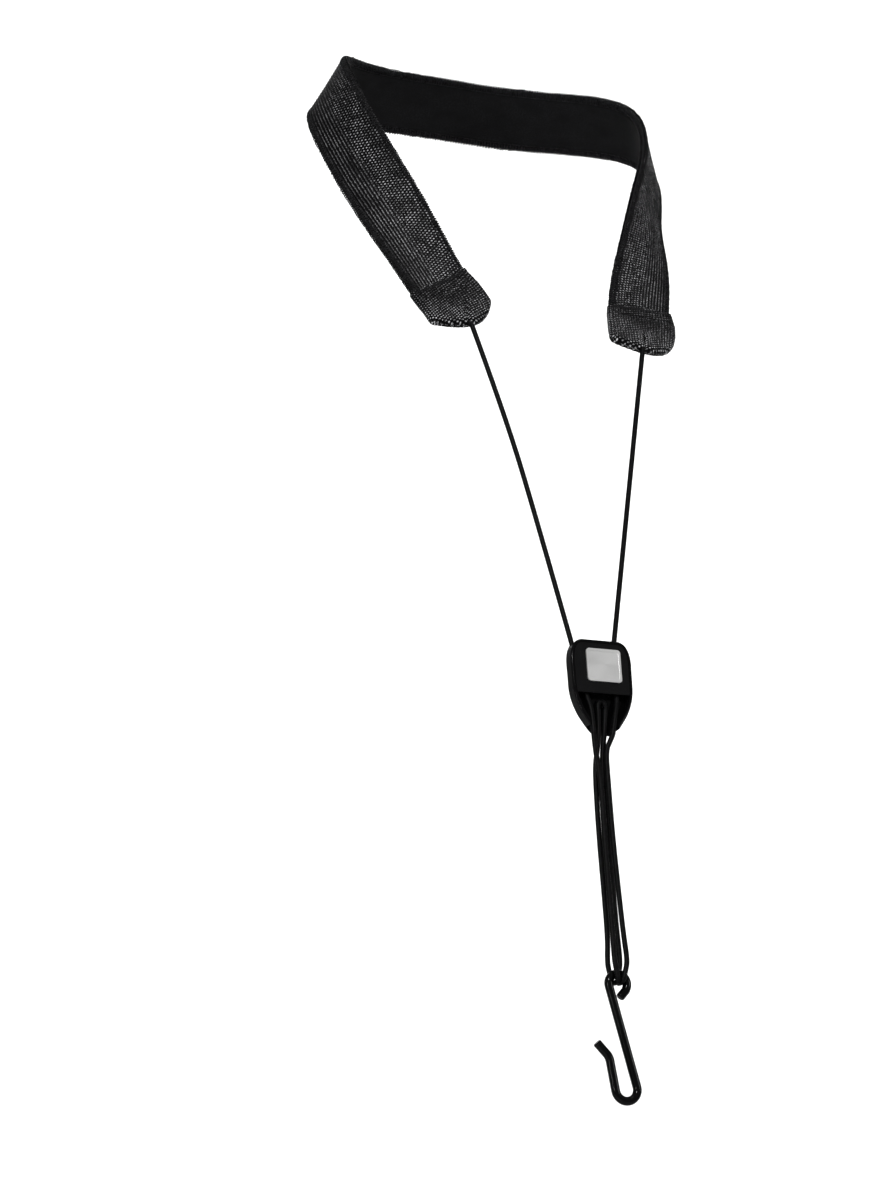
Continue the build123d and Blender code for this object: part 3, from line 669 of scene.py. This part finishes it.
def tab(name, side, node, end):
    ribs, per = 22, 6
    face_w = np.linspace(-1, 1, ribs * per + 1)
    side_a = np.linspace(0, math.pi, 9)[1:-1]
    back_w = np.linspace(1, -1, 67)
    # one loop round the section: outer face, one side, inner face, other side
    kind = np.concatenate([np.zeros(len(face_w)), np.ones(len(side_a)), np.full(len(back_w), 2.0), np.full(len(side_a), 3.0)])
    par = np.concatenate([face_w, side_a, back_w, side_a])
    R = 1.9
    flat = TAB_H - R
    w = np.where(kind == 0, par * flat, np.where(kind == 2, par * flat, 0))
    w = np.where(kind == 1, flat + R * np.sin(par), w)
    w = np.where(kind == 3, -flat - R * np.sin(par), w)
    nn = np.where(kind == 0, 1.0, np.where(kind == 2, -1.0, 0))
    nn = np.where(kind == 1, np.cos(par), nn)
    nn = np.where(kind == 3, -np.cos(par), nn)
    cols = len(w)
    step = 0.55
    rows = 113
    S0 = tab_mouth(side, w)[None, :]
    e = end(w)
    u = np.linspace(0, 1, rows)
    # rows crowd towards the fold at the end
    u = 1 - (1 - u) ** 1.18
    S = S0 + (e[None, :] - S0) * u[:, None]
    d = e[None, :] - S
    r_end = 2.9
    close = np.sqrt(np.clip(1 - (1 - np.clip(d / r_end, 0, 1)) ** 2, 0, 1))
    thick = TAB_N - 0.42 + 0.22 * np.clip((S - 262) / 8, 0, 1)
    thick = thick + 0.30 * np.exp(-((S - 276) / 6) ** 2) * (1 - (w[None, :] / TAB_H) ** 2)
    lip = np.clip((S0 + 1.6 - S) / 1.6, 0, 1)
    n = nn[None, :] * (thick * (0.10 + 0.90 * close) + 0.10 * lip)
    wide = w[None, :] * (1 - 0.018 * (1 - close)) * tab_width(side, S, w[None, :])
    # ribs of the weave on the outer face, and finer ones round the rest
    idx = np.arange(cols)
    rp = np.array([-0.20, -0.02, 0.07, 0.10, 0.07, -0.02])[idx % 6]
    rw = np.array([0.1, 0.5, 0.85, 1.0, 0.85, 0.5])[idx % 6]
    sgn = np.cos(math.pi * S / 0.78 + math.pi * (idx // 6)[None, :])
    outerish = np.where(kind == 0, 1.0, np.where(kind == 2, 0.55, 0.4))
    relief = (rp[None, :] + 0.13 * sgn * rw[None, :]) * outerish[None, :]
    # crease over the cord
    (ga, wa), (gb, wb) = GROOVE[side]
    line = wa + (wb - wa) * np.clip((S - ga) / (gb - ga), 0, 1)
    inside = np.clip((S - ga + 1.5) / 3.0, 0, 1)
    dist = np.abs(w[None, :] - line)
    crease = np.where((kind == 0)[None, :], 1.0, 0.0) * inside
    n = n + crease * (0.42 * np.exp(-((dist - 2.6) / 1.7) ** 2) - 1.05 * np.exp(-(dist / 0.72) ** 2)) * close
    # press of the two seams
    for sp, dp in ((S0 + 2.7, 0.16), (S0 + 7.5, 0.26)):
        n = n - np.sign(nn)[None, :] * dp * np.exp(-((S - sp) / 0.7) ** 2) * (np.abs(nn) > 0.5)[None, :]
    # ease and unevenness of folded cloth
    n = n + np.sign(nn)[None, :] * 0.10 * np.sin(S * 0.55 + w[None, :] * 0.31 * side) * close
    P = on_band(side * S, wide, n)
    # relief along the loop's own outward direction
    c = on_band(side * S, wide, 0 * n)
    outn = on_band(side * S, wide, 1 + 0 * n) - c
    outw = on_band(side * S, wide + 1, n) - P
    direction = outn * nn[None, :, None] + outw * (np.where(kind == 1, np.sin(par), np.where(kind == 3, -np.sin(par), 0)))[None, :, None]
    P = P + direction * (relief * (0.35 + 0.65 * close))[..., None]
    q, ii, jj = grid(rows, cols, wrap=True)
    run = np.concatenate([[0], np.cumsum(np.hypot(np.diff(w), np.diff(nn * 2.2)))])
    run = np.append(run, run[-1] + 1.0)
    uvq = np.stack([S[ii, jj % cols], run[jj]], -1)
    # inner wall of the sleeve's mouth, folded back in
    mouth = on_band(side * (S0[0] + 1.4), w * (H + 0.12) / TAB_H, nn * (N_OUT + 0.18))
    base = rows * cols
    verts = np.concatenate([P.reshape(-1, 3), mouth])
    jn = np.arange(cols)
    ring = np.stack([jn, base + jn, base + (jn + 1) % cols, (jn + 1) % cols], 1)
    uvr = np.stack([np.stack([S0[0], run[:-1]], -1), np.stack([S0[0] - 1.6, run[:-1]], -1),
                    np.stack([S0[0] - 1.6, run[1:]], -1), np.stack([S0[0], run[1:]], -1)], 1)
    # close the fold: outer row to inner row, column to column
    o = np.arange(len(face_w))
    inner_at = np.round(np.interp(face_w, np.linspace(-1, 1, 67), np.arange(67)[::-1])).astype(int) + len(face_w) + len(side_a)
    last = (rows - 1) * cols
    tri_list = []
    a = list(last + o)
    b = list(last + len(face_w) + len(side_a) + np.arange(67)[::-1])
    ia = ib = 0
    while ia < len(a) - 1 or ib < len(b) - 1:
        fa = (ia + 1) / (len(a) - 1) if ia < len(a) - 1 else 9
        fb = (ib + 1) / (len(b) - 1) if ib < len(b) - 1 else 9
        if fa <= fb:
            tri_list.append((a[ia], a[ia + 1], b[ib])); ia += 1
        else:
            tri_list.append((a[ia], b[ib + 1], b[ib])); ib += 1
    s1 = list(last + len(face_w) + np.arange(len(side_a)))
    poly1 = [a[-1]] + s1 + [b[-1]]
    s3 = list(last + len(face_w) + len(side_a) + 67 + np.arange(len(side_a)))
    poly3 = [b[0]] + s3 + [a[0]]
    tris = np.array(tri_list)
    flat_uv = lambda idx: np.stack([S[-1][(np.asarray(idx) - last) % cols], run[(np.asarray(idx) - last) % cols]], -1)
    faces = [q, ring, tris, np.array([poly1]), np.array([poly3])]
    uvs = [uvq, uvr, flat_uv(tris), flat_uv(np.array([poly1])), flat_uv(np.array([poly3]))]
    # wall of the mouth back to the band
    ob = mesh_object(name, verts, faces, M_TAB, uvs, recalc=True)
    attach(ob, "band")
    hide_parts(node)
    return ob


def tab_seams(name, side, node, end):
    """Zigzag over the sleeve's mouth and a lockstitch row behind it, on both faces."""
    parts = []
    for face in (1, -1):
        zig = 34
        k = np.arange(zig * 8 + 1)
        f = (k % 8) / 8
        tri = (1 - np.cos(2 * math.pi * f)) / 2
        w = -16.1 + 32.2 * k / (zig * 8)
        S1 = tab_mouth(side, w)
        S = S1 + 0.2 + 3.1 * tri
        nrm = TAB_N - 0.30 + 0.10 * np.sin(math.pi * tri) - 0.85 * np.clip((S1 + 1.0 - S) / 0.8, 0, 1)
        fall = np.clip((np.abs(w) - 15.2) / 1.2, 0, 1) ** 2
        P = on_band(side * S, w, face * (nrm - 0.7 * fall))
        parts.append(tube(name + "z%d" % face, P, cumulative(P), 0.20, 6, None))
        m = 13
        for i in range(m):
            w0 = -14.9 + i * 2.4
            t = np.linspace(0, 1, 9)
            ww = w0 + 1.95 * t
            nr = TAB_N - 0.62 + 0.34 * np.clip(1.3 * np.sin(math.pi * t), 0, 1)
            P = on_band(side * (tab_mouth(side, ww) + 7.5), ww, face * nr)
            parts.append(tube(name + "s%d_%d" % (face, i), P, cumulative(P), 0.21, 6, None))
    ob = join(name, parts, M_THR)
    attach(ob, "band")
    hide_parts(node)
    return ob


for tag, side, end in (("left", 1, tab_end_left), ("right", -1, tab_end_right)):
    t = tab("end_tab_sleeve_" + tag, side, "end_tab_" + tag, end)
    seam = tab_seams("tab_stitching_" + tag, side, "tab_seam_" + tag, end)


# ------------------------------------------------------------------ cords
def braid(th, d, n=8, lay=0.92, amp=0.115):
    """Two families of strands that pass over and under each other."""
    a = th / (2 * math.pi) * n - d / lay
    b = th / (2 * math.pi) * n + d / lay
    sa, sb = np.abs(np.sin(math.pi * a)), np.abs(np.sin(math.pi * b))
    even = (np.floor(a) + np.floor(b)) % 2 < 1
    h = np.where(even, sa ** 0.6 * (0.45 + 0.55 * sb), sb ** 0.6 * (0.45 + 0.55 * sa))
    return amp * (h - 0.62)


def cord_piece(name, pts, step=0.24, around=28, cap=(True, True), r=CORD_R + 0.05):
    line, along = evenly(spline_line(pts), step)
    ob = tube(name, line, along, r, around, M_CORD, relief=braid, cap=cap)
    return ob, line, along[-1]


def m(p):
    return tuple(float(x) * MM for x in p)


LENGTHS = {}
exit_l, exit_r = EXIT.copy(), EXIT * np.array([-1, 1, 1])
ent_l, ent_r = at_slider(9.0, 22.3, -0.9), at_slider(-12.8, 22.1, -0.9)

# upper cords, from the tabs to the slider's top edge
up_l = [exit_l, exit_l + (ent_l - exit_l) * 0.5, ent_l]
up_r = [exit_r, exit_r + (ent_r - exit_r) * 0.30 + EX * 2.59, exit_r + (ent_r - exit_r) * 0.62 + EX * 1.95, ent_r]
for tag, pts in (("left", up_l), ("right", up_r)):
    ob, line, L = cord_piece("cord_upper_%s_braided" % tag, pts)
    a, b = np.array(pts[0]), np.array(pts[-1])
    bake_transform(ob)
    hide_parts("cord_upper_" + tag)
    LENGTHS["upper_" + tag] = L

# strands and the loops they make through the hook's eye: one piece of cord down, through and up again
S1 = [(-6.1, 0.25, 1.9), (-5.7, 8.0, 1.75), (-4.5, 14.0, 1.5), (-3.5, 24.0, 1.4), (-3.3, 48.0, 1.5), (-3.05, 69.0, 2.2), (-2.7, 86.0, 2.8), (-2.7, 102.5, 3.3)]
S2 = [(-2.4, 0.25, -0.45), (-3.2, 7.0, -1.15), (-4.6, 14.0, -1.3), (-4.85, 26.0, -1.35), (-4.5, 48.0, -1.45), (-3.3, 69.0, -2.2),
      (-2.1, 92.0, -3.1), (-2.9, 103.0, -3.3)]
S3 = [(0.3, 0.25, -0.45), (-0.5, 6.0, -1.05), (-1.05, 13.0, -1.2), (-1.0, 26.0, -1.3), (-0.3, 48.0, -1.45), (1.3, 69.0, -2.2),
      (2.3, 86.0, -2.9), (3.6, 102.5, -3.3)]
S4 = [(3.4, 0.25, 1.9), (2.1, 3.2, 1.85), (-0.3, 7.6, 1.55), (0.1, 22.0, 1.4), (0.7, 46.0, 1.5), (1.6, 69.0, 2.2),
      (2.6, 92.0, 3.1), (3.7, 103.0, 3.3)]


def loop(sx, front, back):
    """Down in front of the wire, through the eye and up behind it; each leg leans out by its own x."""
    return [(sx * front[0], front[1], 3.22), (sx * 1.165, 112.15, 3.22), (sx * 1.165, 112.15, -3.22), (sx * back[0], back[1], -3.22)]


PAIRS = (("right", S1 + loop(-1, (1.8, 107.5), (2.0, 107.5)) + S2[::-1], ("cord_strand_1", "cord_strand_2", "cord_hook_loop_right")),
         ("left", S4 + loop(1, (2.4, 107.5), (2.2, 107.5)) + S3[::-1], ("cord_strand_3", "cord_strand_4", "cord_hook_loop_left")))
for tag, route, nodes in PAIRS:
    pts = [at_strand(*p) for p in route]
    ob, line, L = cord_piece("cord_strand_pair_%s_braided" % tag, pts)
    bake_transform(ob)
    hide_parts(*nodes)
    LENGTHS["pair_" + tag] = L

# the same cord inside the slider
IN_L = [(9.0, 22.15, -0.9), (8.3, -3.0, -0.3), (6.3, -9.8, 1.2), (4.8, -16.0, 1.9), (3.5, -21.9, 1.95)]
IN_R = [(-12.8, 21.95, -0.9), (-7.4, -2.4, -0.6), (-5.7, -12.2, 1.5), (-6.1, -21.9, 1.95)]
IN_M = [(-2.4, -21.9, -0.47), (-1.75, -12.0, -0.47), (-1.75, -6.2, -0.47), (1.75, -6.2, -0.47), (1.75, -12.0, -0.47), (0.3, -21.9, -0.47)]
for tag, route in (("left", IN_L), ("right", IN_R), ("loop", IN_M)):
    ob, line, L = cord_piece("cord_slider_%s_braided" % tag, [at_slider(*p) for p in route])
    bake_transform(ob)
    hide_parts("cord_slider_" + tag)
    LENGTHS["slider_" + tag] = L

# stopper knots in the tabs, with the stub that the cord hangs from
for tag, side in (("left", 1), ("right", -1)):
    ex = EXIT * np.array([side, 1, 1])
    kn = on_band(side * 275.4, 0.0, 0.0)
    d = unit(ex - kn)
    a = unit(np.cross(d, [0.2, 0.9, 0.3]))
    b = np.cross(d, a)
    t = np.linspace(0, 2 * math.pi, 90, endpoint=False)
    # an overhand knot drawn tight
    x = 0.62 * (np.sin(t) + 2 * np.sin(2 * t))
    y = 0.62 * (np.cos(t) - 2 * np.cos(2 * t))
    z = -0.75 * np.sin(3 * t)
    ring = kn + np.outer(x, a) * 0.9 + np.outer(y, b) * 0.9 + np.outer(z, d)
    ring = np.concatenate([ring, ring[:1]])
    k1 = tube("k", ring, cumulative(ring), 0.72, 12, None)
    stub = np.array([kn + d * q for q in np.linspace(0, np.linalg.norm(ex - kn) - 0.05, 40)])
    k2 = tube("st", stub, cumulative(stub) - cumulative(stub)[-1], CORD_R - 0.03, 28, None, relief=braid, cap=(True, False))
    ob = join("cord_stopper_knot_" + tag, [k1, k2], M_CORD)
    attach(ob, "band")
    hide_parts("cord_end_knot_" + tag)


# ------------------------------------------------------------------ slider and hook: the CAD pieces, with their finishes
def finish_node(node, mat):
    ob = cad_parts[node]
    if len(ob.material_slots):
        for s in ob.material_slots:
            s.material = mat
    else:
        ob.data.materials.append(mat)
    return ob


for node, mat in (("slider_body", M_SLIDER), ("slider_panel", M_PANEL), ("slider_plaque", M_PLAQUE), ("hook_coating", M_COAT), ("hook_wire", M_STEEL)):
    finish_node(node, mat)

# ------------------------------------------------------------------ stage, light and camera
def stage_plane(name, verts, mat):
    me = bpy.data.meshes.new(name)
    me.from_pydata(verts, [], [tuple(range(len(verts)))])
    me.materials.append(mat)
    ob = bpy.data.objects.new(name, me)
    bpy.context.scene.collection.objects.link(ob)
    return ob


A, E, ROLL = math.radians(-22.9991), math.radians(-0.52396), math.radians(4.98523)
back = np.array([math.sin(A) * math.cos(E), -math.cos(A) * math.cos(E), math.sin(E)])
right = np.array([math.cos(A), math.sin(A), 0.0])
upv = np.cross(back, right)
right2 = right * math.cos(ROLL) + upv * math.sin(ROLL)
up2 = -right * math.sin(ROLL) + upv * math.cos(ROLL)
FOCAL = 3111.0
campos = SLIDER_C + 1400.0 * back - (600.5 - 440.0) / FOCAL * 1400.0 * right2 + (688.0 - 600.0) / FOCAL * 1400.0 * up2
cam = bpy.data.cameras.new("camera")
cam.sensor_width = 36.0
cam.lens = FOCAL * 36.0 / 1200.0
cam.clip_start, cam.clip_end = 0.05, 30.0
cam_ob = bpy.data.objects.new("camera", cam)
mat4 = Matrix(((right2[0], up2[0], back[0], campos[0] * MM), (right2[1], up2[1], back[1], campos[1] * MM),
               (right2[2], up2[2], back[2], campos[2] * MM), (0, 0, 0, 1)))
cam_ob.matrix_world = mat4
bpy.context.scene.collection.objects.link(cam_ob)
bpy.context.scene.camera = cam_ob

floor_m, nt, b = material("studio_pale", (0.86, 0.86, 0.86), 0.9, spec=0.1)
lo_z = CAD_LO.z - 0.45
segs = 14
me = bpy.data.meshes.new("studio_floor")
prof = [(-4.5, lo_z), (3.0, lo_z)]
for k in range(1, segs + 1):
    t = k / segs * math.pi / 2
    prof.append((3.0 + 0.6 * math.sin(t), lo_z + 0.6 * (1 - math.cos(t))))
prof.append((3.6, 3.4))
fwd = -unit(np.array([back[0], back[1], 0.0]))
mid_r = float(campos @ right) * MM


def studio(x, y, z):
    """x to the camera's right of its own axis, y away from it."""
    q = right * (mid_r + x) + fwd * y
    return (float(q[0]), float(q[1]), z)


vs = [studio(x * (1.0 if z < lo_z + 1e-6 else 0.42), y, z) for y, z in prof for x in (-4.0, 4.0)]
fs = [(2 * k, 2 * k + 1, 2 * k + 3, 2 * k + 2) for k in range(len(prof) - 1)]
me.from_pydata(vs, [], fs)
me.materials.append(floor_m)
me.polygons.foreach_set("use_smooth", np.full(len(fs), True))
fl = bpy.data.objects.new("studio_floor", me)
bpy.context.scene.collection.objects.link(fl)


def area(name, pos, target, size, power, colour=(1, 1, 1), size_y=None):
    l = bpy.data.lights.new(name, "AREA")
    l.energy = power
    l.color = colour
    l.size = size
    if size_y:
        l.shape = "RECTANGLE"
        l.size_y = size_y
    o = bpy.data.objects.new(name, l)
    o.location = pos
    o.rotation_mode = "QUATERNION"
    o.rotation_quaternion = (Vector(target) - Vector(pos)).to_track_quat("-Z", "Y")
    bpy.context.scene.collection.objects.link(o)
    return o


mid = (0.0, -0.17, -0.2)
area("key", (-0.95, -1.45, 0.95), mid, 0.14, 13)
area("fill", (1.3, -1.2, 0.2), mid, 0.3, 3.0)
area("top", (0.15, -0.5, 1.5), mid, 0.3, 4.5)
area("strip_left", (-0.9, -0.75, -0.25), (0, -0.25, -0.3), 0.02, 2.0, size_y=0.42)
area("wash_left", studio(-1.3, 1.7, 0.3), studio(-0.3, 3.6, -0.35), 1.2, 44)
area("wash_right", studio(1.3, 1.7, 0.0), studio(0.3, 3.6, -0.5), 1.2, 44)
w = bpy.data.worlds.new("studio")
bpy.context.scene.world = w
w.use_nodes = True
w.node_tree.nodes["Background"].inputs["Color"].default_value = (1, 1, 1, 1)
w.node_tree.nodes["Background"].inputs["Strength"].default_value = 0.22
bpy.context.scene.view_settings.view_transform = "Standard"
